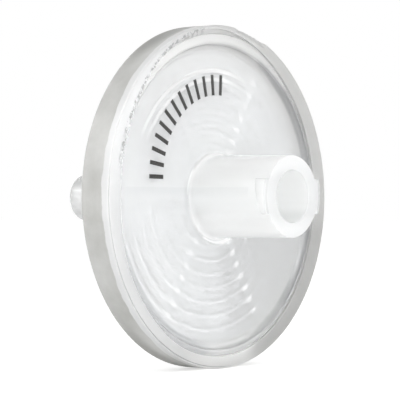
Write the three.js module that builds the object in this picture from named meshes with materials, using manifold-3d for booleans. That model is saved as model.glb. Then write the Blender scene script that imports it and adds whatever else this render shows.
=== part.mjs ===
// Disc syringe filter with a 25 mm membrane, in millimetres, +Z up.
//
// The flow axis is Y. The origin is the centre of the inlet socket's mouth, the inlet faces -Y
// and the liquid runs towards +Y, so a station on the axis is its distance from the mouth.
// Two moulded discs clamp the membrane, and an overmoulded ring wraps their edges.

import * as THREE from 'three';
import { mergeVertices } from 'three/addons/utils/BufferGeometryUtils.js';
import Module from 'manifold-3d';

const wasm = await Module();
wasm.setup();

// ---- Driving dimensions -------------------------------------------------------------------

const SEGMENTS = 60; // facets round every revolved piece
const ARC_STEPS = 3; // facets across a fillet
const SEAM = 0.02; // clearance left at each moulded seam
const LUER_TAPER = 0.03; // radius lost per millimetre on a 6 % luer cone
const LUER_LEAD = 5; // lead of the two-start luer thread

// Stations along the flow axis.
const RIM_FRONT = 7.17; // front plane of the rim ring
const LIP_UNDER = 7.4; // underside of the rim ring's front lip
const INLET_FACE = 8.0; // outer face of the inlet disc, in the recess
const INLET_INNER = 9.2; // rib crests of the inlet disc
const DISC_SEAM = 9.38; // where the two discs meet outside the membrane
const RIM_BAND_END = 9.93; // end of the rim's cylindrical band
const OUTLET_FACE = 10.4; // outer face of the outlet disc
const RIM_BACK = 10.8; // back plane of the rim ring
const CONE_BASE = 14.96; // where the male luer cone leaves the hub
const OUTLET_END = 22.96; // end of the outlet tip

// Rim ring.
const RIM_RADIUS = 14.2;
const LIP_RADIUS = 12.65; // inner edge of both lips
const DISC_RADIUS = 13.5; // edge of both discs, inside the ring
const LIP_EDGE = 0.1; // rounding of the lips' inner edge
const RIM_EDGE = 0.05; // rounding of the ring's front outer edge
const BACK_CHAMFER = 1.05; // how far the ring's back chamfer reaches inwards

// Inlet socket, a female luer with lock lugs.
const SOCKET_RADIUS = 3.33; // outside, at the mouth
const SOCKET_DRAFT = 0.09; // extra radius at the disc
const BORE_RADIUS = 2.14; // at the mouth
const BORE_DEPTH = 7.6;
const ORIFICE_RADIUS = 1.1;
const MOUTH_CHAMFER = 0.08;
const LUG_RADIUS = 3.75;
const LUG_WIDTH = 2.86;
const LUG_THICKNESS = 0.88; // along the axis, at the middle of the lug
const LUG_ROOT = 2.8; // how deep the lug reaches into the socket's wall

// Outlet hub and tip, a male luer slip.
const HUB_RADIUS = 3.2;
const TIP_RADIUS = 1.98; // at the end of the tip
const TIP_BORE = 1.05;
const TIP_EDGE = 0.25; // rounding of the tip's end

// Fillets on the outer faces.
const FILLET = 0.45;

// Distribution pattern on the inner face of each disc.
const GROOVES = 8;
const FIRST_GROOVE = 3.675;
const GROOVE_PITCH = 1.15;
const GROOVE_DEPTH = 0.35;
const GROOVE_TOP = 0.34; // half width at the rib crests
const GROOVE_FLOOR = 0.2; // half width at the floor of an inlet groove
const CHANNELS = 6;
const CHANNEL_WIDTH = 0.8;
const CHANNEL_DEPTH = 0.4;
const CHANNEL_REACH = FIRST_GROOVE + (GROOVES - 1) * GROOVE_PITCH; // ends in the last groove

// Membrane and the pocket that holds it.
const MEMBRANE_RADIUS = 12.3;
const MEMBRANE_THICKNESS = 0.14;
const POCKET_RADIUS = 12.4;

// ---- Tools --------------------------------------------------------------------------------

const point = (radius, station) => new THREE.Vector2(radius, station);

/** Points of a fillet about (radius, station), with both ends. */
function arc(radius, station, size, fromDegrees, toDegrees) {
  return Array.from({ length: ARC_STEPS + 1 }, (_, i) => {
    const angle = THREE.MathUtils.degToRad(
      THREE.MathUtils.lerp(fromDegrees, toDegrees, i / ARC_STEPS),
    );
    return point(radius + size * Math.cos(angle), station + size * Math.sin(angle));
  });
}

/** A closed three.js geometry as a solid. */
function solid(geometry) {
  const bare = geometry.clone();
  bare.deleteAttribute('normal');
  bare.deleteAttribute('uv');
  const merged = mergeVertices(bare);
  return new wasm.Manifold(
    new wasm.Mesh({
      numProp: 3,
      vertProperties: new Float32Array(merged.attributes.position.array),
      triVerts: new Uint32Array(merged.index.array),
    }),
  );
}

/** Turns a closed profile about the flow axis. The profile runs outwards, downstream, inwards. */
function revolve(profile) {
  return solid(new THREE.LatheGeometry([...profile, profile[0]], SEGMENTS));
}

/** The finished solid as a named, coloured mesh. */
function part(name, shape, material) {
  const { vertProperties, triVerts } = shape.getMesh();
  const geometry = new THREE.BufferGeometry();
  geometry.setAttribute('position', new THREE.BufferAttribute(vertProperties, 3));
  geometry.setIndex(new THREE.BufferAttribute(triVerts, 1));
  const mesh = new THREE.Mesh(geometry, material);
  mesh.name = name;
  return mesh;
}

// ---- Distribution pattern -----------------------------------------------------------------

/**
 * Profile points of the concentric grooves in a face at the given station.
 * side is the direction from the face into the wall; floor is the floor's half width.
 */
function grooves(station, side, floor) {
  const deep = station + side * GROOVE_DEPTH;
  return Array.from({ length: GROOVES }, (_, i) => FIRST_GROOVE + i * GROOVE_PITCH).flatMap(
    (radius) => [
      point(radius - GROOVE_TOP, station),
      ...(floor > 0
        ? [point(radius - floor, deep), point(radius + floor, deep)]
        : [point(radius, deep)]),
      point(radius + GROOVE_TOP, station),
    ],
  );
}

/** The six radial channels, as one cutter for a face at the given station. */
function channelCutter(station, side) {
  const overshoot = 0.2; // the cutter starts outside the wall
  const height = CHANNEL_DEPTH + overshoot;
  const box = new THREE.BoxGeometry(CHANNEL_REACH, height, CHANNEL_WIDTH);
  box.translate(CHANNEL_REACH / 2, station + side * (CHANNEL_DEPTH - height / 2), 0);
  let cutter = solid(box);
  for (let i = 1; i < CHANNELS; i += 1) {
    cutter = cutter.add(solid(box.clone().rotateY((i * 2 * Math.PI) / CHANNELS)));
  }
  return cutter;
}

// ---- Pieces -------------------------------------------------------------------------------

/**
 * One luer-lock lug on the +X side: flush with the mouth in front, and behind it a piece of a
 * right-hand thread, so that the lug is thicker at its trailing end.
 */
function lug() {
  const halfAngle = Math.asin(LUG_WIDTH / 2 / LUG_RADIUS);
  const outline = new THREE.Shape();
  outline.moveTo(LUG_ROOT, -LUG_WIDTH / 2);
  outline.absarc(0, 0, LUG_RADIUS, -halfAngle, halfAngle, false);
  outline.lineTo(LUG_ROOT, LUG_WIDTH / 2);
  outline.closePath();
  const geometry = new THREE.ExtrudeGeometry(outline, {
    depth: LUG_THICKNESS,
    bevelEnabled: false,
    curveSegments: 6,
  });
  geometry.rotateX(-Math.PI / 2); // the outline's plane is now square to the flow axis
  const corner = geometry.attributes.position;
  for (let i = 0; i < corner.count; i += 1) {
    if (corner.getY(i) > LUG_THICKNESS / 2) {
      const angle = Math.atan2(corner.getZ(i), corner.getX(i));
      corner.setY(i, LUG_THICKNESS - (LUER_LEAD * angle) / (2 * Math.PI));
    }
  }
  return geometry;
}

function inletHousing() {
  const boreEnd = BORE_RADIUS - LUER_TAPER * BORE_DEPTH;
  const socketBase = SOCKET_RADIUS + SOCKET_DRAFT;
  const profile = [
    // Socket, from the mouth down to the disc.
    point(BORE_RADIUS + MOUTH_CHAMFER, 0),
    point(SOCKET_RADIUS - MOUTH_CHAMFER, 0),
    point(SOCKET_RADIUS, MOUTH_CHAMFER),
    ...arc(socketBase + FILLET, INLET_FACE - FILLET, FILLET, 180, 90),
    // Disc face, and the upstand round its edge.
    ...arc(LIP_RADIUS - FILLET, INLET_FACE - FILLET, FILLET, 90, 0),
    point(LIP_RADIUS, LIP_UNDER + SEAM),
    point(DISC_RADIUS, LIP_UNDER + SEAM),
    point(DISC_RADIUS, DISC_SEAM),
    // Inner face, with the membrane's pocket and the grooves, from the edge inwards.
    point(POCKET_RADIUS, DISC_SEAM),
    point(POCKET_RADIUS, INLET_INNER),
    ...grooves(INLET_INNER, -1, GROOVE_FLOOR).reverse(),
    // Orifice and bore, back to the mouth.
    point(ORIFICE_RADIUS, INLET_INNER),
    point(ORIFICE_RADIUS, BORE_DEPTH),
    point(boreEnd, BORE_DEPTH),
    point(BORE_RADIUS, MOUTH_CHAMFER),
  ];
  return revolve(profile)
    .add(solid(lug()))
    .add(solid(lug().rotateY(Math.PI)))
    .subtract(channelCutter(INLET_INNER, -1));
}

function outletHousing() {
  const inner = DISC_SEAM + SEAM;
  const coneBase = TIP_RADIUS + LUER_TAPER * (OUTLET_END - CONE_BASE);
  const profile = [
    // Inner face, from the bore outwards.
    point(TIP_BORE, inner),
    ...grooves(inner, 1, 0),
    point(DISC_RADIUS, inner),
    // Outer face, with the step that the ring's back lip holds.
    point(DISC_RADIUS, OUTLET_FACE),
    ...arc(HUB_RADIUS + FILLET, OUTLET_FACE + FILLET, FILLET, 270, 180),
    point(HUB_RADIUS, CONE_BASE - FILLET),
    point(HUB_RADIUS - FILLET, CONE_BASE),
    // Luer cone and its rounded end.
    point(coneBase, CONE_BASE),
    ...arc(TIP_RADIUS - TIP_EDGE, OUTLET_END - TIP_EDGE, TIP_EDGE, 0, 90),
    point(TIP_BORE, OUTLET_END),
  ];
  return revolve(profile).subtract(channelCutter(inner, 1));
}

function membrane() {
  const geometry = new THREE.CylinderGeometry(
    MEMBRANE_RADIUS,
    MEMBRANE_RADIUS,
    MEMBRANE_THICKNESS,
    SEGMENTS,
  );
  const pocketFloor = DISC_SEAM + SEAM;
  return solid(geometry.translate(0, (INLET_INNER + pocketFloor) / 2, 0));
}

function rimRing() {
  const bore = DISC_RADIUS + SEAM;
  const profile = [
    // Front lip, flat out to the outer edge.
    point(LIP_RADIUS, LIP_UNDER),
    point(LIP_RADIUS, RIM_FRONT + LIP_EDGE),
    point(LIP_RADIUS + LIP_EDGE, RIM_FRONT),
    point(RIM_RADIUS - RIM_EDGE, RIM_FRONT),
    point(RIM_RADIUS, RIM_FRONT + RIM_EDGE),
    // Band and back chamfer.
    point(RIM_RADIUS, RIM_BAND_END),
    point(RIM_RADIUS - BACK_CHAMFER, RIM_BACK),
    // Back lip.
    point(LIP_RADIUS + LIP_EDGE, RIM_BACK),
    point(LIP_RADIUS, RIM_BACK - LIP_EDGE),
    point(LIP_RADIUS, OUTLET_FACE + SEAM),
    point(bore, OUTLET_FACE + SEAM),
    point(bore, LIP_UNDER),
  ];
  return revolve(profile);
}

// ---- Materials and assembly ---------------------------------------------------------------

/** Natural polypropylene, more or less see-through. */
function polypropylene(color, opacity) {
  return new THREE.MeshStandardMaterial({
    color,
    opacity,
    transparent: true,
    roughness: 0.3,
    metalness: 0,
  });
}

const housingPlastic = polypropylene(0xf1f3f3, 0.6);
const rimPlastic = polypropylene(0xe2e3e2, 0.7);
const membraneWhite = new THREE.MeshStandardMaterial({
  color: 0xf7f7f5,
  roughness: 0.85,
  metalness: 0,
});

const filter = new THREE.Group();
filter.add(
  part('inlet_housing', inletHousing(), housingPlastic),
  part('membrane', membrane(), membraneWhite),
  part('outlet_housing', outletHousing(), housingPlastic),
  part('rim_ring', rimRing(), rimPlastic),
);

export default filter;
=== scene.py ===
"""Disc syringe filter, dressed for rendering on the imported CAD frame.

The flow axis is Y and the inlet faces -Y. A point of a lathe outline is (radius, station) in
millimetres, where the station is the distance from the inlet socket's mouth along +Y. Angles
round the axis are in degrees: 0 on the -X side, 90 on top, 180 on the +X side.
"""

import math

import bmesh
import bpy
from mathutils import Matrix, Vector, noise

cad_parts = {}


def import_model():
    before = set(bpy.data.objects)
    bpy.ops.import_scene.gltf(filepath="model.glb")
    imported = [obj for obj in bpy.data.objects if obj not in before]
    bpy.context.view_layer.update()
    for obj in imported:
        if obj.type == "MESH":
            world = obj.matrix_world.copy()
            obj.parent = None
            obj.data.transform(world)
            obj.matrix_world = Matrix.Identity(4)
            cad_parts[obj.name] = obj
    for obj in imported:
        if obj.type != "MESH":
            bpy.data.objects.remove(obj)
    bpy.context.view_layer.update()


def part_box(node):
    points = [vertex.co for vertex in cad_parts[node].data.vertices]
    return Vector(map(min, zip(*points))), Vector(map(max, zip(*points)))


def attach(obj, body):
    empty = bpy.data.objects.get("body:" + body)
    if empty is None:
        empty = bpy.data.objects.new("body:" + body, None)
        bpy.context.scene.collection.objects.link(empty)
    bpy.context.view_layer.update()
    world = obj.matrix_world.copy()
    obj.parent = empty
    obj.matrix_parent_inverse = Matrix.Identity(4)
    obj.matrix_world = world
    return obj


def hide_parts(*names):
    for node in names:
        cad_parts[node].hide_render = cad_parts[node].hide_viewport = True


MM = 0.001

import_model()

# ---- Sizes in millimetres, the outer ones from the frame -----------------------------------


def box_mm(node):
    low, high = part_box(node)
    return [c / MM for c in low], [c / MM for c in high]


INLET_LOW, INLET_HIGH = box_mm("inlet_housing")
OUTLET_LOW, OUTLET_HIGH = box_mm("outlet_housing")
RIM_LOW, RIM_HIGH = box_mm("rim_ring")
MEMBRANE_LOW, MEMBRANE_HIGH = box_mm("membrane")

MOUTH = INLET_LOW[1]
DISC_SEAM = INLET_HIGH[1]
OUTLET_INNER = OUTLET_LOW[1]
OUTLET_END = OUTLET_HIGH[1]
RIM_FRONT, RIM_BACK = RIM_LOW[1], RIM_HIGH[1]
RIM_RADIUS = RIM_HIGH[0]
DISC_RADIUS = INLET_HIGH[0]
MEMBRANE_RADIUS = MEMBRANE_HIGH[0]

SEAM = 0.02  # between the ring and the discs
LIP_THICKNESS = 0.23
LIP_RADIUS = RIM_RADIUS - 1.55
LIP_BACK = RIM_FRONT + LIP_THICKNESS
COLLAR_FRONT = LIP_BACK + SEAM  # of the upstand round the inlet disc
FACE_STATION = RIM_FRONT + 0.83
BACK_STATION = RIM_BACK - 0.4
BAND_END = RIM_BACK - 0.87  # where the back chamfer starts
CHAMFER_WIDTH = 1.05
NOTCH_RADIUS = RIM_RADIUS - 0.15  # fine line round the front lip
LIP_ZONE_END = RIM_FRONT + 0.65  # where the rim turns from thin and white to thick and grey

# Inlet socket.
SOCKET_RADIUS = 3.33
SOCKET_BASE = 3.42
BORE_RADIUS = 2.14
BORE_END = 1.912
BORE_DEPTH = 7.6
ORIFICE_RADIUS = 1.1
LUG_RADIUS = 3.75
LUG_WIDTH = 2.86
LUG_THICKNESS = 0.88
LUG_ROOT = 2.8
LUG_EDGE = 0.09
LUG_STEPS = 24
LUER_LEAD = 5.0

# Outlet hub and tip.
HUB_RADIUS = 3.2
CONE_BASE = 14.96
CONE_BASE_RADIUS = 2.22
TIP_RADIUS = 1.98
TIP_BORE = 1.05

# Ribs and channels behind each face.
RIB_PITCH = 1.15
FIRST_RIB = 4.25
GROOVE_RADII = [3.675 + RIB_PITCH * i for i in range(8)]
GROOVE_DEPTH = 0.35
GROOVE_HALF = 0.34
GROOVE_SLOPE = 0.14
CHANNELS = 6
CHANNEL_WIDTH = 0.8
CHANNEL_DEPTH = 0.4
CHANNEL_TAPER = 0.8
CUTTER_LEAD = 0.2  # how far the channels' cutter starts in front of the face
POCKET_RADIUS = 12.4
POCKET_STATION = 9.2

# Roundings of corners.
SHARP_EDGE = 0.05
SOFT_EDGE = 0.08
MEMBRANE_EDGE = 0.03
MOUTH_EDGES = (0.09, 0.12)  # inside and outside
WALL_FILLET = 0.45
COLLAR_EDGE = 0.2
BORE_END_EDGE = 0.2
HUB_EDGE = 0.4
CONE_FOOT = 0.15
TIP_EDGE = 0.25
BAND_EDGE = 0.25
CHAMFER_EDGE = 0.15
BACK_LIP_EDGE = 0.1

LATHE_SEGMENTS = 256
RIM_SEGMENTS = 960
SHARP_ANGLE = 28  # degrees; flatter edges are shaded smooth

# The lip's points, from LIP_RADIUS outwards, and round the notch: dense where they are moved.
LIP_POINTS = [0.15 + 0.05 * i for i in range(12)] + [0.85 + 0.1 * i for i in range(5)]
NOTCH_POINTS = (-0.08, -0.05, -0.02, 0.02, 0.05, 0.08)

# Wear and melting of the front lip. A zone is (from, to, fade): 1 between the first two, falling
# to 0 over the third on each side.
FLASH_ANGLES, FLASH_RADII = (12, 74, 10), (12.6, 13.0, 0.3)
FLASH_HEIGHT, FLASH_HEIGHT_GRAIN = 0.13, 0.22
FLASH_REACH, FLASH_REACH_GRAIN = 0.08, 0.25
GATE_ANGLES, GATE_RADII = (99, 111, 3), (13.6, 14.3, 0.3)
GATE_DEPTH, GATE_STREAKS, GATE_SINK = 0.2, 0.1, 0.06
NOTCH_RADII = (NOTCH_RADIUS - 0.02, NOTCH_RADIUS + 0.02, 0.05)
NOTCH_DEEP_ANGLES = (300, 350, 20)
NOTCH_DEPTH, NOTCH_GRAIN = 0.07, 0.6
WORN_END = RIM_FRONT + 0.35  # nothing behind this station is moved

# How far outside LIP_RADIUS the melted lip's inner edge lies, by angle.
LIP_RETREAT = (
    (0, 0.0), (15, 0.1), (34, 0.3), (46, 0.65), (55, 0.85), (75, 1.25), (90, 1.25), (110, 0.7),
    (130, 0.3), (160, 0.05), (200, 0.0), (220, 0.15), (260, 0.5), (295, 0.6), (315, 0.4), (337, 0.3),
    (352, 0.05), (360, 0.0),
)
LIP_WIDTH = 1.45
RETREAT_TURNS = (-6, -3, 0, 3, 6)  # the angles it is averaged over

# Printed bars on the inlet face.
PRINT_BARS = 13
PRINT_CENTRE = (0.3, 1.45)  # of the arc they follow, in X and Z
PRINT_RADIUS = 7.85
PRINT_START, PRINT_SPACING = 1.0, 7.6  # degrees round that centre
PRINT_LENGTH, PRINT_WIDTH = 1.7, 0.34
PRINT_RAISED, PRINT_SUNK = 0.012, 0.004

# ---- Mesh tools ----------------------------------------------------------------------------

BOX_FACES = ((0, 1, 2, 3), (7, 6, 5, 4), (0, 4, 5, 1), (1, 5, 6, 2), (2, 6, 7, 3), (3, 7, 4, 0))
GUARD_REACH = 1.3  # of a guard point, in lengths of the rounding
GUARD_ROOM = 3  # the flat it needs, in the same lengths
DISC_CENTRE = 0.5  # radius inside which a disc is closed with triangles


def rounded(corners, steps=4):
    """The closed outline through (radius, station, size) corners, each rounded by its size.

    A guard point on each side of a rounding keeps the flats next to it flat when they're shaded.
    """
    outline = []
    for i, (r, y, size) in enumerate(corners):
        here = Vector((r, y))
        if not size:
            outline.append(here)
            continue
        before = Vector(corners[i - 1][:2]) - here
        after = Vector(corners[(i + 1) % len(corners)][:2]) - here
        half = before.angle(after) / 2
        reach = size / math.tan(half)
        centre = here + (before.normalized() + after.normalized()).normalized() * (
            size / math.sin(half)
        )
        first = here + before.normalized() * reach - centre
        last = here + after.normalized() * reach - centre
        turn = first.angle_signed(last)
        if before.length > GUARD_ROOM * reach:
            outline.append(here + before.normalized() * reach * GUARD_REACH)
        for k in range(steps + 1):
            spoke = first.copy()
            spoke.rotate(Matrix.Rotation(-turn * k / steps, 2))
            outline.append(centre + spoke)
        if after.length > GUARD_ROOM * reach:
            outline.append(here + after.normalized() * reach * GUARD_REACH)
    return outline


def at(angle, radius, station):
    """The point in metres at an angle round the axis in degrees."""
    a = math.radians(angle)
    return (-radius * math.cos(a) * MM, station * MM, radius * math.sin(a) * MM)


def link_mesh(name, mesh):
    piece = bpy.data.objects.new(name, mesh)
    bpy.context.scene.collection.objects.link(piece)
    return piece


def mesh_object(name, points, faces):
    mesh = bpy.data.meshes.new(name)
    mesh.from_pydata(points, [], faces)
    mesh.validate()
    return link_mesh(name, mesh)


def outward(piece):
    shape = bmesh.new()
    shape.from_mesh(piece.data)
    bmesh.ops.recalc_face_normals(shape, faces=shape.faces)
    shape.to_mesh(piece.data)
    shape.free()


def lathe(name, outline, segments=LATHE_SEGMENTS, warp=None):
    """A solid of revolution from a closed outline. warp moves a point given as angle, r, y."""
    points, faces = [], []
    for s in range(segments):
        angle = 360 * s / segments
        for r, y in outline:
            if warp:
                r, y = warp(angle, r, y)
            points.append(at(angle, r, y))
    n = len(outline)
    for s in range(segments):
        here, there = s * n, (s + 1) % segments * n
        for i in range(n):
            j = (i + 1) % n
            faces.append((here + i, here + j, there + j, there + i))
    piece = mesh_object(name, points, faces)
    outward(piece)
    return piece


def disc(name, radius, low, high, edge, segments=LATHE_SEGMENTS):
    """A flat disc with rounded edges, closed at the axis."""
    corners = [(DISC_CENTRE, low, 0), (radius, low, edge), (radius, high, edge), (DISC_CENTRE, high, 0)]
    outline = rounded(corners, 3)
    n = len(outline)
    points, faces = [], []
    for s in range(segments):
        points += [at(360 * s / segments, r, y) for r, y in outline]
    for s in range(segments):
        here, there = s * n, (s + 1) % segments * n
        for i in range(n - 1):
            faces.append((here + i, here + i + 1, there + i + 1, there + i))
    low_centre, high_centre = len(points), len(points) + 1
    points += [at(0, 0, low), at(0, 0, high)]
    for s in range(segments):
        here, there = s * n, (s + 1) % segments * n
        faces.append((here, there, low_centre))
        faces.append((there + n - 1, here + n - 1, high_centre))
    piece = mesh_object(name, points, faces)
    outward(piece)
    return piece


def combine(piece, tool, operation):
    """Applies a boolean with another closed mesh and deletes that mesh."""
    change = piece.modifiers.new("combine", "BOOLEAN")
    change.operation = operation
    change.object = tool
    change.solver = "MANIFOLD"
    graph = bpy.context.evaluated_depsgraph_get()
    result = bpy.data.meshes.new_from_object(piece.evaluated_get(graph))
    piece.modifiers.remove(change)
    old = piece.data
    piece.data = result
    bpy.data.meshes.remove(old)
    bpy.data.objects.remove(tool)


def dress(piece, material):
    piece.data.materials.clear()
    piece.data.materials.append(material)
    piece.data.polygons.foreach_set("use_smooth", [True] * len(piece.data.polygons))
    piece.data.set_sharp_from_angle(angle=math.radians(SHARP_ANGLE))
    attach(piece, "root")


# ---- Node tools ----------------------------------------------------------------------------

MIX_COLOURS = (6, 7)  # the Mix node's sockets for colours
WHITE = (1.0, 1.0, 1.0)


class Nodes:
    """The node tree of a material or world, with short calls to add and link nodes."""

    def __init__(self, owner):
        owner.use_nodes = True
        self.owner = owner
        self.tree = owner.node_tree
        self.tree.nodes.clear()

    def add(self, kind, settings=None, **inputs):
        node = self.tree.nodes.new("ShaderNode" + kind)
        for key, value in (settings or {}).items():
            setattr(node, key, value)
        for key, value in inputs.items():
            self.set(node, key.replace("_", " "), value)
        return node

    def set(self, node, key, value):
        """Links an input, given by name or number, to a socket, or sets it to a value."""
        if isinstance(value, bpy.types.NodeSocket):
            self.tree.links.new(value, node.inputs[key])
        else:
            node.inputs[key].default_value = value

    def math(self, operation, *values):
        node = self.add("Math", {"operation": operation})
        for i, value in enumerate(values):
            self.set(node, i, value)
        return node.outputs[0]

    def product(self, *values):
        result = values[0]
        for value in values[1:]:
            result = self.math("MULTIPLY", result, value)
        return result

    def inverse(self, value):
        return self.math("SUBTRACT", 1.0, value)

    def between(self, value, low, high):
        """Maps 0..1 to low..high."""
        node = self.add("MapRange", Value=value)
        self.set(node, "To Min", low)
        self.set(node, "To Max", high)
        return node.outputs["Result"]

    def step(self, value, low, high):
        """0 below low, 1 above high, and a smooth rise between them."""
        node = self.add("MapRange", {"interpolation_type": "SMOOTHSTEP"}, Value=value)
        self.set(node, "From Min", low)
        self.set(node, "From Max", high)
        return node.outputs["Result"]

    def fall(self, value, low, high):
        """1 below low, 0 above high."""
        return self.inverse(self.step(value, low, high))

    def window(self, value, low, high, fade):
        """1 between low and high, fading to 0 outside them."""
        return self.product(self.step(value, low - fade, low), self.fall(value, high, high + fade))

    def places(self):
        return self.add("TexCoord").outputs["Object"]

    def parts(self):
        return self.add("SeparateXYZ", Vector=self.places()).outputs

    def across(self):
        """Distance along +X from the flow axis, in millimetres."""
        return self.math("MULTIPLY", self.parts()[0], 1 / MM)

    def station(self):
        return self.math("MULTIPLY", self.parts()[1], 1 / MM)

    def height(self):
        """Height above the flow axis, in millimetres."""
        return self.math("MULTIPLY", self.parts()[2], 1 / MM)

    def radius(self):
        """Distance from the flow axis, in millimetres."""
        x, _, z = self.parts()
        square = self.math("ADD", self.math("MULTIPLY", x, x), self.math("MULTIPLY", z, z))
        return self.math("MULTIPLY", self.math("SQRT", square), 1 / MM)

    def angle(self):
        """Angle round the flow axis, in degrees from -180 to 180."""
        x, _, z = self.parts()
        turn = self.math("ARCTAN2", z, self.math("MULTIPLY", x, -1.0))
        return self.math("MULTIPLY", turn, 180 / math.pi)

    def noise(self, scale, detail, roughness):
        node = self.add("TexNoise", Scale=scale, Detail=detail, Roughness=roughness)
        self.set(node, "Vector", self.places())
        return node.outputs["Fac"]

    def ramp(self, value, first, last):
        """A colour ramp between two (place, colour) stops."""
        node = self.add("ValToRGB", Fac=value)
        for element, (place, colour) in zip(node.color_ramp.elements, (first, last)):
            element.position = place
            element.color = (*colour, 1)
        return node.outputs["Color"]

    def mix(self, share, first, second):
        """The first colour, turned to the second by share."""
        node = self.add("Mix", {"data_type": "RGBA"})
        self.set(node, 0, share)
        for place, colour in zip(MIX_COLOURS, (first, second)):
            if isinstance(colour, tuple):
                colour = (*colour, 1)
            self.set(node, place, colour)
        return node.outputs[2]

    def marked(self, colour, marks):
        """The colour with marks mixed in, each given as its mask's function, share and tint."""
        for mask, share, tint in marks:
            colour = self.mix(self.product(mask(self), share), colour, tint)
        return colour

    def bump(self, height, strength, distance):
        node = self.add("Bump", Height=height, Strength=strength, Distance=distance)
        return node.outputs["Normal"]

    def join(self, kind, first, second, **inputs):
        """A node that mixes or adds two shaders."""
        node = self.add(kind, **inputs)
        sockets = [socket for socket in node.inputs if socket.type == "SHADER"]
        for socket, shader in zip(sockets, (first, second)):
            self.tree.links.new(shader.outputs[0], socket)
        return node

    def lets_light_in(self, shader, share):
        """Lets lamps reach what is behind a see-through surface."""
        shadow = self.add("LightPath").outputs["Is Shadow Ray"]
        clear = self.add("BsdfTransparent", Color=(0.98, 0.98, 0.98, 1))
        return self.join("MixShader", shader, clear, Fac=self.math("MULTIPLY", shadow, share))

    def finish(self, shader, output="OutputMaterial"):
        self.add(output, Surface=shader.outputs[0])
        return self.owner


# ---- Masks of the marks, most of them painted light and shade ------------------------------
#
# Zones are (from, to, fade) as above, and edges (0 up to here, 1 from here on). Angles are in
# degrees from -180 to 180, radii and stations in millimetres.

CHANNEL_HALF = 0.36  # half width of the painted highlight blocks in the channels
BLOCK_EDGE, CREST_EDGE = (0.1, 0.6), (0.75, 0.95)  # of the wave that is 1 on each rib
RIB_ZONE = (3.8, 11.4, 0.2)
FAINT_CHANNELS, FAINT_SHARE = (-20.0, 85.0, 15.0), 0.85
LIT_CRESTS, CREST_SHARES = (-125.0, 0.0, 20.0), (0.05, 0.42)
INNER_STATIONS, INNER_RADII = (8.6, 9.9, 0.1), (2.9, 12.1, 0.3)
FACE_STATIONS = (7.9, 8.1, 0.05)
JOINT_WIDTHS, JOINT_TOP_LESS, JOINT_SET_BACK = (0.12, 0.42), 0.12, 0.7
SOCKET_RADII, SOCKET_END = (3.9, 4.3), (7.85, 8.0)
TUBE_SIDE = (-3.0, -2.4)  # the -X side, by distance across


def inner_faces(n):
    """1 inside the housing, where the ribs and channels are."""
    return n.product(n.window(n.station(), *INNER_STATIONS), n.window(n.radius(), *INNER_RADII))


def rib_wave(n):
    """1 on each rib, -1 halfway between two."""
    phase = n.math("MULTIPLY", n.math("SUBTRACT", n.radius(), FIRST_RIB), 2 * math.pi / RIB_PITCH)
    return n.math("COSINE", phase)


def channels(n):
    """1 along the radial channels, faint at the upper left."""
    half_turn = 180 / CHANNELS
    fold = n.math("WRAP", n.angle(), half_turn, -half_turn)
    slope = n.math("SINE", n.math("MULTIPLY", fold, math.pi / 180))
    aside = n.math("ABSOLUTE", n.math("MULTIPLY", n.radius(), slope))
    inside = n.fall(aside, CHANNEL_HALF - 0.03, CHANNEL_HALF + 0.05)
    clear = n.inverse(n.product(n.window(n.angle(), *FAINT_CHANNELS), FAINT_SHARE))
    return n.product(inside, n.window(n.radius(), *RIB_ZONE), clear)


# Painted shade: darker in the channels, between the ribs.
def painted_channel_shade(n):
    between_ribs = n.inverse(n.step(rib_wave(n), *BLOCK_EDGE))
    return n.product(inner_faces(n), channels(n), between_ribs)


def painted_rib_highlights(n):
    """Painted highlights on the blocks where channels cut ribs and on the ribs' crests, most at the
    lower left.
    """
    blocks = n.product(channels(n), n.step(rib_wave(n), *BLOCK_EDGE))
    lit = n.between(n.window(n.angle(), *LIT_CRESTS), *CREST_SHARES)
    crests = n.product(n.step(rib_wave(n), *CREST_EDGE), lit, n.window(n.radius(), *RIB_ZONE))
    return n.product(inner_faces(n), n.math("MAXIMUM", blocks, crests))


def fuzzy_painted_shade(n):
    """Painted shade: an irregular, darker patch behind the face, at the lower right."""
    place = n.product(n.window(n.angle(), -165.0, -110.0, 15.0), n.window(n.radius(), 5.0, 11.4, 1.0))
    return n.product(inner_faces(n), place, n.step(n.noise(5000, 3, 0.6), 0.38, 0.62))


def joint_start(n):
    """The radius from which the joint's shadow covers the face."""
    angle = n.angle()
    low = n.window(angle, -85.0, -40.0, 30.0)
    right = n.math("MAXIMUM", n.step(angle, 110.0, 130.0), n.fall(angle, -125.0, -105.0))
    top = n.product(n.window(angle, 20.0, 105.0, 15.0), JOINT_TOP_LESS)
    width = n.math("SUBTRACT", n.between(n.math("MAXIMUM", low, right), *JOINT_WIDTHS), top)
    inward = n.math("MAXIMUM", n.math("COSINE", n.math("MULTIPLY", angle, math.pi / 180)), 0.0)
    set_back = n.product(inward, n.window(angle, -95.0, 0.0, 20.0), JOINT_SET_BACK)
    return n.math("SUBTRACT", LIP_RADIUS, n.math("ADD", width, set_back))


def joint_shadow(n):
    """1 on the face along the ring's lip: wide at the lower left and on the right, else thin."""
    angle, station = n.angle(), n.station()
    shelf = n.fall(station, 7.45, 7.55)
    off_bottom = n.inverse(n.window(angle, -78.0, -20.0, 10.0))
    return n.product(
        n.step(n.math("SUBTRACT", n.radius(), joint_start(n)), -0.05, 0.2),
        n.fall(station, FACE_STATION - 0.1, FACE_STATION + 0.3),
        n.inverse(n.window(angle, 15.0, 106.0, 12.0)),
        n.inverse(n.product(shelf, off_bottom, 0.7)),
        n.inverse(n.product(n.window(angle, -128.0, -88.0, 12.0), 0.6)),
    )


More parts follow.
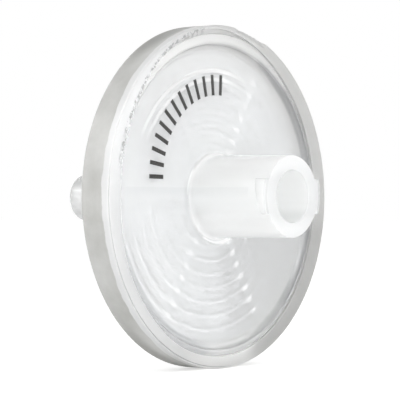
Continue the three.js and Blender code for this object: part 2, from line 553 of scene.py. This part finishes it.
def painted_fillet_glint(n):
    """Painted glint: 1 on the fillet at the socket's base, underneath and at the upper left."""
    angle, radius = n.angle(), n.radius()
    reach = n.between(n.step(angle, -117.0, -65.0), 4.05, 3.8)
    ring = n.product(
        n.step(radius, 3.6, 3.72),
        n.fall(n.math("SUBTRACT", radius, reach), -0.1, 0.05),
        n.window(n.station(), 7.5, 8.1, 0.05),
    )
    below = n.window(angle, -112.0, -68.0, 8.0)
    left = n.product(n.window(angle, 10.0, 30.0, 12.0), 0.35)
    return n.product(ring, n.math("MAXIMUM", below, left))


def top_arcs(n):
    """1 on two pale arcs on the face, near its top."""
    radius = n.radius()
    arcs = n.math("MAXIMUM", n.window(radius, 9.7, 9.8, 0.2), n.window(radius, 10.4, 10.55, 0.15))
    return n.product(arcs, n.window(n.angle(), 45.0, 95.0, 20.0), n.window(n.station(), *FACE_STATIONS))


def collar_top(n):
    """1 on the front of the upstand, where the lip leaves it bare at the top."""
    front = n.product(n.step(n.radius(), 12.45, 12.65), n.fall(n.station(), 7.65, 7.75))
    return n.product(front, n.window(n.angle(), 30.0, 120.0, 20.0))


def warm_edge(n):
    """1 near the upper edge of the discs, with a ragged inner border."""
    edge = n.math("ADD", n.radius(), n.math("MULTIPLY", n.noise(260, 2, 0.5), 1.6))
    return n.product(
        n.step(edge, 10.4, 11.6), n.step(n.height(), 2.0, 9.0), n.step(n.station(), 7.3, 7.4)
    )


def reflection_edge_painted_shade(n):
    """Painted shade below the sharp lower edge of a reflected highlight: 1 at a level line across face
    and socket on the -X side, fading below it.
    """
    return n.product(
        n.window(n.height(), 0.5, 0.75, 0.8),
        n.fall(n.height(), 0.7, 0.8),
        n.fall(n.across(), *TUBE_SIDE),
        n.window(n.station(), 2.0, 8.05, 0.05),
        n.fall(n.radius(), 10.8, 12.0),
    )


def bore_shade(n):
    """1 low inside the bore, near the mouth."""
    return n.product(
        n.fall(n.height(), -1.7, -0.7), n.fall(n.radius(), 2.2, 2.3), n.fall(n.station(), 4.0, 5.0)
    )


def tube_middle_painted_shade(n):
    """Painted shade: 1 along the middle of the socket's -X side, darkening it against its top and
    bottom.
    """
    return n.product(
        n.fall(n.math("ABSOLUTE", n.math("ADD", n.height(), 0.3)), 0.3, 1.7),
        n.fall(n.across(), *TUBE_SIDE),
        n.window(n.station(), 1.0, 8.0, 0.3),
        n.fall(n.radius(), *SOCKET_RADII),
    )


# Painted shade: darker on the socket's mouth face.
def mouth_face_painted_shade(n):
    return n.fall(n.station(), 0.05, 0.2)


# Painted shade: darker on top of the outlet tip.
def tip_top_painted_shade(n):
    return n.product(n.step(n.station(), 14.8, 15.0), n.step(n.height(), 0.0, 1.6))


def lugs(n):
    return n.product(n.step(n.radius(), 3.36, 3.5), n.fall(n.station(), 1.6, 2.0))


def right_lug_painted_shade(n):
    """Painted shade: 1 on the sides of the +X lug."""
    return n.product(lugs(n), n.step(n.across(), 2.0, 3.0), n.fall(n.radius(), 3.64, 3.7))


def wavy_station(n):
    return n.math("ADD", n.station(), n.product(n.math("SUBTRACT", n.noise(500, 3, 0.6), 0.5), 0.5))


def rim_ends(n):
    """1 on the thin front and back of the rim."""
    front = n.fall(wavy_station(n), LIP_ZONE_END - 0.06, LIP_ZONE_END + 0.06)
    back = n.step(wavy_station(n), RIM_BACK - 0.5, RIM_BACK - 0.4)
    return n.math("MAXIMUM", front, back)


# Painted shade: darker on the band's top and bottom.
def band_top_and_bottom_shade(n):
    level = n.math("ABSOLUTE", n.height())
    return n.product(n.step(level, 8.5, 13.0), n.step(wavy_station(n), 8.2, 9.4))


# Painted shade: darker still on the band's top.
def band_crown_shade(n):
    return n.product(n.step(n.height(), 11.0, 13.8), n.step(wavy_station(n), 7.8, 8.4))


# Painted shade: darker on the lip at the lower right.
def lip_low_right_shade(n):
    return n.window(n.angle(), -165.0, -118.0, 12.0)


# Painted light: lighter on the lip at the bottom.
def lip_bottom_painted_light(n):
    return n.window(n.angle(), -100.0, -75.0, 10.0)


def notch_shade(n):
    """Painted shade: 1 in the fine line round the lip, at the lower left."""
    return n.product(
        n.window(n.radius(), NOTCH_RADIUS - 0.02, NOTCH_RADIUS + 0.02, 0.04),
        n.window(n.angle(), -88.0, 5.0, 8.0),
        n.fall(n.station(), RIM_FRONT + 0.2, RIM_FRONT + 0.3),
    )


def lip_edge_shade(n):
    """Painted shade: 1 on the inner edge of the lip, apart from its top and bottom."""
    angle = n.angle()
    return n.product(
        n.window(n.station(), RIM_FRONT + 0.06, LIP_BACK, 0.03),
        n.fall(n.radius(), NOTCH_RADIUS - 0.2, NOTCH_RADIUS - 0.12),
        n.inverse(n.window(angle, 15.0, 105.0, 15.0)),
        n.inverse(n.window(angle, -140.0, -85.0, 12.0)),
    )


def flash_grain(n):
    """1 on dark grains in the weld flash, at the upper left of the front lip."""
    outer = n.between(n.step(n.angle(), 25.0, 75.0), 13.15, 13.95)
    return n.product(
        n.step(n.noise(3000, 2, 0.5), 0.47, 0.54),
        n.window(n.angle(), 15.0, 76.0, 8.0),
        n.fall(n.math("SUBTRACT", n.radius(), outer), 0.0, 0.15),
        n.fall(n.station(), RIM_FRONT + 0.2, RIM_FRONT + 0.3),
    )


# ---- Materials -----------------------------------------------------------------------------

# Each mark's mask, share and tint, in the order in which they are mixed in. The housing's marks are
# painted shade and painted highlights; the rim's and lip's are painted light and shade, apart from the
# flash's grains.
HOUSING_MARKS = (
    (painted_channel_shade, 0.3, (0.55, 0.56, 0.58)),
    (fuzzy_painted_shade, 0.8, (0.38, 0.38, 0.38)),
    (painted_rib_highlights, 1.0, WHITE),
    (joint_shadow, 0.55, (0.38, 0.39, 0.41)),
    (bore_shade, 0.35, (0.45, 0.46, 0.46)),
    (reflection_edge_painted_shade, 0.14, (0.6, 0.62, 0.64)),
    (painted_fillet_glint, 0.75, WHITE),
    (tube_middle_painted_shade, 0.3, (0.72, 0.73, 0.74)),
    (mouth_face_painted_shade, 0.6, (0.70, 0.71, 0.72)),
    (tip_top_painted_shade, 0.5, (0.62, 0.63, 0.62)),
    (right_lug_painted_shade, 0.6, (0.68, 0.69, 0.69)),
)
RIM_MARKS = (
    (band_top_and_bottom_shade, 0.7, (0.3, 0.3, 0.28)),
    (band_crown_shade, 0.72, (0.22, 0.22, 0.21)),
    (notch_shade, 0.6, (0.35, 0.35, 0.36)),
    (lip_edge_shade, 0.6, (0.4, 0.4, 0.4)),
    (flash_grain, 0.75, (0.25, 0.25, 0.25)),
)
LIP_MARKS = (
    (lip_low_right_shade, 0.7, (0.46, 0.46, 0.45)),
    (lip_bottom_painted_light, 0.9, (0.90, 0.90, 0.89)),
)
# Marks that are whiter and less clear than the plastic round them, with their share. The rib blocks and
# crests and the fillet glint are painted highlights.
OPAQUE_MARKS = ((painted_rib_highlights, 1.0), (painted_fillet_glint, 0.75), (top_arcs, 0.35), (collar_top, 0.35))

# How see-through the housing is, from 0 to 1.
CLEAR_OUTSIDE = 0.7
CLEAR_INSIDE = 0.35
CLEAR_SOCKET = 0.28
CLEAR_SOCKET_EDGE = 0.1  # along its top and bottom
CLEAR_LUG = 0.42
TIP_AS_SOCKET = 0.5  # how far the tip takes the socket's clearness

HOUSING_SCATTER, HOUSING_LIGHT = 0.8, 0.88
RIM_CLEAR, RIM_SCATTER, RIM_LIGHT = 0.3, 0.6, 0.8
PLASTIC_BUMP = (0.02, 0.00001)  # strength and distance
ROUGH_GRAIN = (900, 3, 0.6)  # scale, detail and roughness of the noise


def milky(n, colour, rough, normal, transmission, scatter, shadow_share):
    """Polypropylene: milky, see-through, satin. Lamps pass it by shadow_share."""
    shader = n.add(
        "BsdfPrincipled",
        Base_Color=colour,
        Roughness=rough,
        Normal=normal,
        IOR=1.49,
        Transmission_Weight=transmission,
        Subsurface_Weight=scatter,
        Subsurface_Scale=0.002,
        Subsurface_Radius=(1.0, 1.0, 1.0),
    )
    return n.finish(n.lets_light_in(shader, shadow_share))


def housing_colour(n):
    outside = n.ramp(n.noise(180, 4, 0.55), (0.35, (0.96, 0.968, 0.968)), (0.65, (0.983, 0.99, 0.985)))
    outside = n.mix(n.product(warm_edge(n), 0.45), outside, (0.87, 0.865, 0.855))
    colour = n.mix(inner_faces(n), outside, (0.78, 0.785, 0.79))
    return n.marked(colour, HOUSING_MARKS)


def housing_clearness(n):
    tip = n.product(n.step(n.station(), 12.0, 12.5), TIP_AS_SOCKET)
    tube = n.product(n.fall(n.station(), *SOCKET_END), n.fall(n.radius(), *SOCKET_RADII))
    level = n.math("ABSOLUTE", n.height())
    tube_clear = n.between(n.step(level, 1.2, 2.8), CLEAR_SOCKET, CLEAR_SOCKET_EDGE)
    tube_clear = n.between(lugs(n), tube_clear, CLEAR_LUG)
    outer = n.between(n.math("MAXIMUM", tube, tip), CLEAR_OUTSIDE, tube_clear)
    return n.between(inner_faces(n), outer, CLEAR_INSIDE)


def housing_plastic():
    n = Nodes(bpy.data.materials.new("natural_plastic"))
    opaque = 0.0
    for mask, share in OPAQUE_MARKS:
        opaque = n.math("MAXIMUM", opaque, n.product(mask(n), share))
    clear = n.product(housing_clearness(n), n.inverse(opaque))
    scatter = n.product(n.inverse(opaque), HOUSING_SCATTER)
    rough = n.between(n.noise(*ROUGH_GRAIN), 0.15, 0.21)
    turning = n.math("SINE", n.math("MULTIPLY", n.radius(), 60.0))
    height = n.math("ADD", n.math("MULTIPLY", turning, 0.35), n.noise(2500, 2, 0.5))
    normal = n.bump(height, *PLASTIC_BUMP)
    return milky(n, housing_colour(n), rough, normal, clear, scatter, HOUSING_LIGHT)


def rim_plastic():
    """Whiter over the discs' edges and greyer round the band, partly for thin and thick plastic and
    partly as painted shade on the band. The lip is painted lighter on the -X side and darker on the +X
    side.
    """
    n = Nodes(bpy.data.materials.new("overmoulded_plastic"))
    cloud = n.noise(160, 4, 0.6)
    band = n.ramp(n.noise(240, 5, 0.6), (0.35, (0.53, 0.53, 0.51)), (0.65, (0.68, 0.68, 0.665)))
    # The lip's two tones: painted light on the -X side (near) and painted shade on the +X side (far).
    near = n.ramp(cloud, (0.3, (0.84, 0.845, 0.85)), (0.7, (0.90, 0.905, 0.91)))
    far = n.ramp(cloud, (0.3, (0.60, 0.60, 0.59)), (0.7, (0.66, 0.66, 0.65)))
    lip = n.marked(n.mix(n.step(n.across(), -11.0, 6.0), near, far), LIP_MARKS)
    colour = n.marked(n.mix(rim_ends(n), band, lip), RIM_MARKS)
    normal = n.bump(n.noise(900, 2, 0.5), *PLASTIC_BUMP)
    rough = n.between(n.noise(*ROUGH_GRAIN), 0.3, 0.4)
    return milky(n, colour, rough, normal, RIM_CLEAR, RIM_SCATTER, RIM_LIGHT)


def matt(n, colour, rough, normal):
    return n.finish(n.add("BsdfPrincipled", Base_Color=colour, Roughness=rough, Normal=normal))


def membrane_material():
    n = Nodes(bpy.data.materials.new("filter_membrane"))
    pores = n.noise(14000, 4, 0.7)
    colour = n.ramp(n.noise(400, 3, 0.5), (0.3, (0.80, 0.81, 0.82)), (0.7, (0.84, 0.85, 0.86)))
    return matt(n, colour, n.between(pores, 0.75, 0.95), n.bump(pores, 0.4, 0.00002))


def ink_material():
    n = Nodes(bpy.data.materials.new("black_print"))
    blots = n.noise(9000, 3, 0.6)
    colour = n.ramp(blots, (0.3, (0.012, 0.012, 0.012)), (0.75, (0.045, 0.043, 0.04)))
    return matt(n, colour, n.between(blots, 0.35, 0.6), n.bump(blots, 0.3, 0.00001))


HOUSING = housing_plastic()
RIM = rim_plastic()
MEMBRANE = membrane_material()
INK = ink_material()

# ---- Pieces --------------------------------------------------------------------------------


def groove_corners(station, side):
    """Outline corners of the concentric grooves in an inner face, from the axis outwards."""
    deep = station + side * GROOVE_DEPTH
    corners = []
    for r in GROOVE_RADII:
        corners += [
            (r - GROOVE_HALF, station, SHARP_EDGE),
            (r - GROOVE_HALF + GROOVE_SLOPE, deep, SHARP_EDGE),
            (r + GROOVE_HALF - GROOVE_SLOPE, deep, SHARP_EDGE),
            (r + GROOVE_HALF, station, SHARP_EDGE),
        ]
    return corners


def channel_cutter(station, side):
    """The radial channels that break the ribs, as one closed mesh for a face at station."""
    reach, half = GROOVE_RADII[-1], CHANNEL_WIDTH / 2
    start, end = station - side * CUTTER_LEAD, station + side * CHANNEL_DEPTH
    points, faces = [], []
    for i in range(CHANNELS):
        turn = Matrix.Rotation(2 * math.pi * i / CHANNELS, 3, "Y")
        base = len(points)
        for y, slim in ((start, half), (end, half * CHANNEL_TAPER)):
            for x, z in ((0, -slim), (reach, -slim), (reach, slim), (0, slim)):
                points.append(turn @ Vector((x * MM, y * MM, z * MM)))
        faces += [tuple(base + k for k in quad) for quad in BOX_FACES]
    cutter = mesh_object("channel_cutter", points, faces)
    outward(cutter)
    return cutter


def lug_outline():
    """The lug's (x, z) outline, seen along the flow axis."""
    half = math.asin(LUG_WIDTH / 2 / LUG_RADIUS)
    outline = [(LUG_ROOT, -LUG_WIDTH / 2)]
    for k in range(LUG_STEPS + 1):
        a = -half + 2 * half * k / LUG_STEPS
        outline.append((LUG_RADIUS * math.cos(a), LUG_RADIUS * math.sin(a)))
    outline.append((LUG_ROOT, LUG_WIDTH / 2))
    return outline


def lug(side):
    """A luer-lock lug: flush with the mouth, with a helical back face."""
    outline = lug_outline()
    shape = bmesh.new()
    front = [shape.verts.new((x * MM, MOUTH * MM, z * MM)) for x, z in outline]
    back = []
    for x, z in outline:
        y = LUG_THICKNESS - LUER_LEAD * math.atan2(z, x) / (2 * math.pi)
        back.append(shape.verts.new((x * MM, y * MM, z * MM)))
    shape.faces.new(front)
    shape.faces.new(reversed(back))
    for i in range(len(outline)):
        j = (i + 1) % len(outline)
        shape.faces.new((front[i], back[i], back[j], front[j]))
    bmesh.ops.recalc_face_normals(shape, faces=shape.faces)
    edges = [e for e in shape.edges if e.calc_face_angle(0) > math.radians(25)]
    bmesh.ops.bevel(shape, geom=edges, offset=LUG_EDGE * MM, segments=3, profile=0.5, affect="EDGES")
    if side < 0:
        bmesh.ops.rotate(shape, verts=shape.verts, matrix=Matrix.Rotation(math.pi, 3, "Y"))
    mesh = bpy.data.meshes.new("lug")
    shape.to_mesh(mesh)
    shape.free()
    return link_mesh("lug", mesh)


def inlet_housing():
    corners = [
        (BORE_RADIUS, MOUTH, MOUTH_EDGES[0]),
        (SOCKET_RADIUS, MOUTH, MOUTH_EDGES[1]),
        (SOCKET_BASE, FACE_STATION, WALL_FILLET),
        (LIP_RADIUS, FACE_STATION, WALL_FILLET),
        (LIP_RADIUS, COLLAR_FRONT, COLLAR_EDGE),
        (DISC_RADIUS, COLLAR_FRONT, SOFT_EDGE),
        (DISC_RADIUS, DISC_SEAM, SHARP_EDGE),
        (POCKET_RADIUS, DISC_SEAM, SHARP_EDGE),
        (POCKET_RADIUS, POCKET_STATION, SHARP_EDGE),
        *reversed(groove_corners(POCKET_STATION, -1)),
        (ORIFICE_RADIUS, POCKET_STATION, SOFT_EDGE),
        (ORIFICE_RADIUS, BORE_DEPTH, SOFT_EDGE),
        (BORE_END, BORE_DEPTH, BORE_END_EDGE),
    ]
    piece = lathe("inlet_housing_moulding", rounded(corners))
    combine(piece, lug(1), "UNION")
    combine(piece, lug(-1), "UNION")
    combine(piece, channel_cutter(POCKET_STATION, -1), "DIFFERENCE")
    dress(piece, HOUSING)
    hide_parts("inlet_housing")


def outlet_housing():
    corners = [
        (TIP_BORE, OUTLET_INNER, SOFT_EDGE),
        *groove_corners(OUTLET_INNER, 1),
        (DISC_RADIUS, OUTLET_INNER, SHARP_EDGE),
        (DISC_RADIUS, BACK_STATION, SOFT_EDGE),
        (HUB_RADIUS, BACK_STATION, WALL_FILLET),
        (HUB_RADIUS, CONE_BASE, HUB_EDGE),
        (CONE_BASE_RADIUS, CONE_BASE, CONE_FOOT),
        (TIP_RADIUS, OUTLET_END, TIP_EDGE),
        (TIP_BORE, OUTLET_END, SOFT_EDGE),
    ]
    piece = lathe("outlet_housing_moulding", rounded(corners))
    combine(piece, channel_cutter(OUTLET_INNER, 1), "DIFFERENCE")
    dress(piece, HOUSING)
    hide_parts("outlet_housing")


def membrane():
    low, high = MEMBRANE_LOW[1], MEMBRANE_HIGH[1]
    piece = disc("filter_membrane_disc", MEMBRANE_RADIUS, low, high, MEMBRANE_EDGE)
    dress(piece, MEMBRANE)
    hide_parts("membrane")


def spread(value, low, high, fade):
    """1 between low and high, falling to 0 over fade on each side."""
    gap = max(low - value, value - high, 0)
    return max(0, 1 - gap / fade)


def lip_retreat(angle):
    """The entry of LIP_RETREAT at an angle, averaged over RETREAT_TURNS."""
    total = 0
    for turn in RETREAT_TURNS:
        place = (angle + turn) % 360
        for (a, low), (b, high) in zip(LIP_RETREAT, LIP_RETREAT[1:]):
            if a <= place <= b:
                total += low + (high - low) * (place - a) / (b - a)
                break
    return total / len(RETREAT_TURNS)


def worn(angle, r, y):
    """Moves a point of the rim's front as flash, gate mark, notch and melting shape it."""
    if y > WORN_END:
        return r, y
    place = Vector(at(angle, r, y)) / MM
    flash = spread(angle, *FLASH_ANGLES) * spread(r, *FLASH_RADII)
    gate = spread(angle, *GATE_ANGLES) * spread(r, *GATE_RADII)
    streaks = noise.noise(Vector((angle * 1.4, r * 2, 0)))
    notch = NOTCH_DEPTH * spread(r, *NOTCH_RADII)
    notch *= 0.5 + 0.5 * noise.noise(place / NOTCH_GRAIN) + spread(angle, *NOTCH_DEEP_ANGLES)
    lip = max(0, 1 - (r - LIP_RADIUS) / LIP_WIDTH) if y < LIP_BACK + 0.01 else 0
    y += FLASH_HEIGHT * flash * noise.noise(place / FLASH_HEIGHT_GRAIN)
    y += gate * (GATE_DEPTH + GATE_STREAKS * streaks) + max(0, notch)
    r += FLASH_REACH * flash * noise.noise(place / FLASH_REACH_GRAIN + Vector((7, 7, 7)))
    r += lip * lip_retreat(angle) - GATE_SINK * gate
    return r, y


def rim_ring():
    bore = DISC_RADIUS + SEAM
    corners = [
        (LIP_RADIUS, LIP_BACK, 0),
        (LIP_RADIUS, RIM_FRONT, SOFT_EDGE),
        *((LIP_RADIUS + offset, RIM_FRONT, 0) for offset in LIP_POINTS),
        *((NOTCH_RADIUS + offset, RIM_FRONT, 0) for offset in NOTCH_POINTS),
        (RIM_RADIUS, RIM_FRONT, SHARP_EDGE),
        (RIM_RADIUS, BAND_END, BAND_EDGE),
        (RIM_RADIUS - CHAMFER_WIDTH, RIM_BACK, CHAMFER_EDGE),
        (LIP_RADIUS, RIM_BACK, BACK_LIP_EDGE),
        (LIP_RADIUS, BACK_STATION + SEAM, 0),
        (bore, BACK_STATION + SEAM, SHARP_EDGE),
        (bore, LIP_BACK, SHARP_EDGE),
    ]
    piece = lathe("overmoulded_rim", rounded(corners), RIM_SEGMENTS, worn)
    dress(piece, RIM)
    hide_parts("rim_ring")


def face_print():
    """A row of plain bars printed on the inlet face, along an arc above the axis."""
    points, faces = [], []
    middle = Vector(PRINT_CENTRE)
    for i in range(PRINT_BARS):
        turn = math.radians(PRINT_START + PRINT_SPACING * i)
        out = Vector((-math.cos(turn), math.sin(turn)))
        across = Vector((-out.y, out.x)) * PRINT_WIDTH / 2
        low = middle + out * (PRINT_RADIUS - PRINT_LENGTH / 2)
        high = middle + out * (PRINT_RADIUS + PRINT_LENGTH / 2)
        base = len(points)
        for y in (FACE_STATION - PRINT_RAISED, FACE_STATION + PRINT_SUNK):
            for corner in (low - across, high - across, high + across, low + across):
                points.append((corner.x * MM, y * MM, corner.y * MM))
        faces += [tuple(base + k for k in quad) for quad in BOX_FACES]
    piece = mesh_object("face_print", points, faces)
    outward(piece)
    dress(piece, INK)


inlet_housing()
outlet_housing()
membrane()
rim_ring()
face_print()

# ---- Stage, light and camera ---------------------------------------------------------------

FLOOR_HEIGHT = RIM_LOW[2] * MM
FLOOR_HALF = 1.5  # metres
FLOOR_GLOW = 0.4  # to the camera alone
SKY_LEVEL, SKY_ZENITH = 0.05, 1.0  # as a light


def floor():
    x, z = FLOOR_HALF, FLOOR_HEIGHT
    plane = mesh_object("floor", [(-x, -x, z), (x, -x, z), (x, x, z), (-x, x, z)], [(0, 1, 2, 3)])
    n = Nodes(bpy.data.materials.new("floor"))
    seen = n.add("LightPath").outputs["Is Camera Ray"]
    colour = n.ramp(n.noise(60, 2, 0.5), (0, (0.93, 0.93, 0.93)), (1, (0.95, 0.95, 0.95)))
    surface = n.add("BsdfDiffuse", Color=colour)
    glow = n.add("Emission", Color=(1, 1, 1, 1), Strength=n.math("MULTIPLY", seen, FLOOR_GLOW))
    plane.data.materials.append(n.finish(n.join("AddShader", surface, glow)))


def world():
    """White to the camera; as a light, SKY_LEVEL at the horizon and SKY_ZENITH overhead."""
    made = bpy.data.worlds.new("studio")
    made.cycles.sampling_method = "NONE"
    bpy.context.scene.world = made
    n = Nodes(made)
    path = n.add("LightPath").outputs
    clear = n.math("MAXIMUM", path["Is Glossy Ray"], path["Is Transmission Ray"])
    seen = n.math("MAXIMUM", path["Is Camera Ray"], clear)
    direction = n.add("TexCoord").outputs["Generated"]
    upwards = n.add("SeparateXYZ", Vector=direction).outputs[2]
    strength = n.between(seen, n.between(upwards, SKY_LEVEL, SKY_ZENITH), 1.0)
    back = n.add("Background", Color=(1, 1, 1, 1), Strength=strength)
    n.finish(back, "OutputWorld")


def softbox(name, place, aim, width, height, power):
    light = bpy.data.lights.new(name, "AREA")
    light.shape = "RECTANGLE"
    light.size, light.size_y = width * MM, height * MM
    light.energy = power
    lamp = bpy.data.objects.new(name, light)
    bpy.context.scene.collection.objects.link(lamp)
    lamp.location = Vector(place) * MM
    lamp.rotation_mode = "QUATERNION"
    lamp.rotation_quaternion = (Vector(aim) - Vector(place)).to_track_quat("-Z", "Y")
    lamp.visible_camera = False


# Each lamp's place, the point it faces, its width and height in millimetres, and its watts.
LAMPS = {
    "near": ((-45, -75, 60), (0, 8, 0), 60, 60, 0.0085),
    "low": ((-60, -40, 4), (0, 4, 0), 40, 20, 0.008),
    "strip": ((-90, 99, 75), (0, 6, 0), 60, 50, 0.036),
    "front": ((10, -120, 40), (0, 6, 0), 60, 60, 0.034),
    "under": ((-50, -80, -6), (0, 0, -2), 80, 14, 0.018),
    "right": ((110, -60, 50), (0, 6, 0), 60, 60, 0.021),
    "behind": ((-90, 60, -6), (0, 18, 0), 60, 14, 0.0105),
}

CAMERA_AZIMUTH = 50.28  # from the flow axis towards -X
CAMERA_ELEVATION = -0.27
CAMERA_DISTANCE = 153.25  # from the mouth, along the view, in millimetres
CAMERA_ASIDE = (7.476, 0.284)  # how far right and up the mouth's centre is seen
CAMERA_LENS = 171.59
CAMERA_SENSOR = 36.0
CAMERA_NEAR_CLIP = 0.01  # metres


def camera():
    azimuth, elevation = math.radians(CAMERA_AZIMUTH), math.radians(CAMERA_ELEVATION)
    back = Vector(
        (
            -math.sin(azimuth) * math.cos(elevation),
            -math.cos(azimuth) * math.cos(elevation),
            math.sin(elevation),
        )
    )
    right = Vector((math.cos(azimuth), -math.sin(azimuth), 0))
    up = back.cross(right)
    place = back * CAMERA_DISTANCE - right * CAMERA_ASIDE[0] - up * CAMERA_ASIDE[1]
    data = bpy.data.cameras.new("camera")
    data.lens = CAMERA_LENS
    data.sensor_width = CAMERA_SENSOR
    data.clip_start = CAMERA_NEAR_CLIP
    eye = bpy.data.objects.new("camera", data)
    bpy.context.scene.collection.objects.link(eye)
    turn = Matrix((right, up, back)).transposed().to_4x4()
    eye.matrix_world = Matrix.Translation(place * MM) @ turn
    bpy.context.scene.camera = eye


floor()
world()
for lamp_name, lamp_settings in LAMPS.items():
    softbox(lamp_name, *lamp_settings)
camera()

cycles = bpy.context.scene.cycles
cycles.max_bounces = 32
cycles.transmission_bounces = 24
cycles.diffuse_bounces = 8
cycles.glossy_bounces = 8
bpy.context.scene.view_settings.view_transform = "Standard"
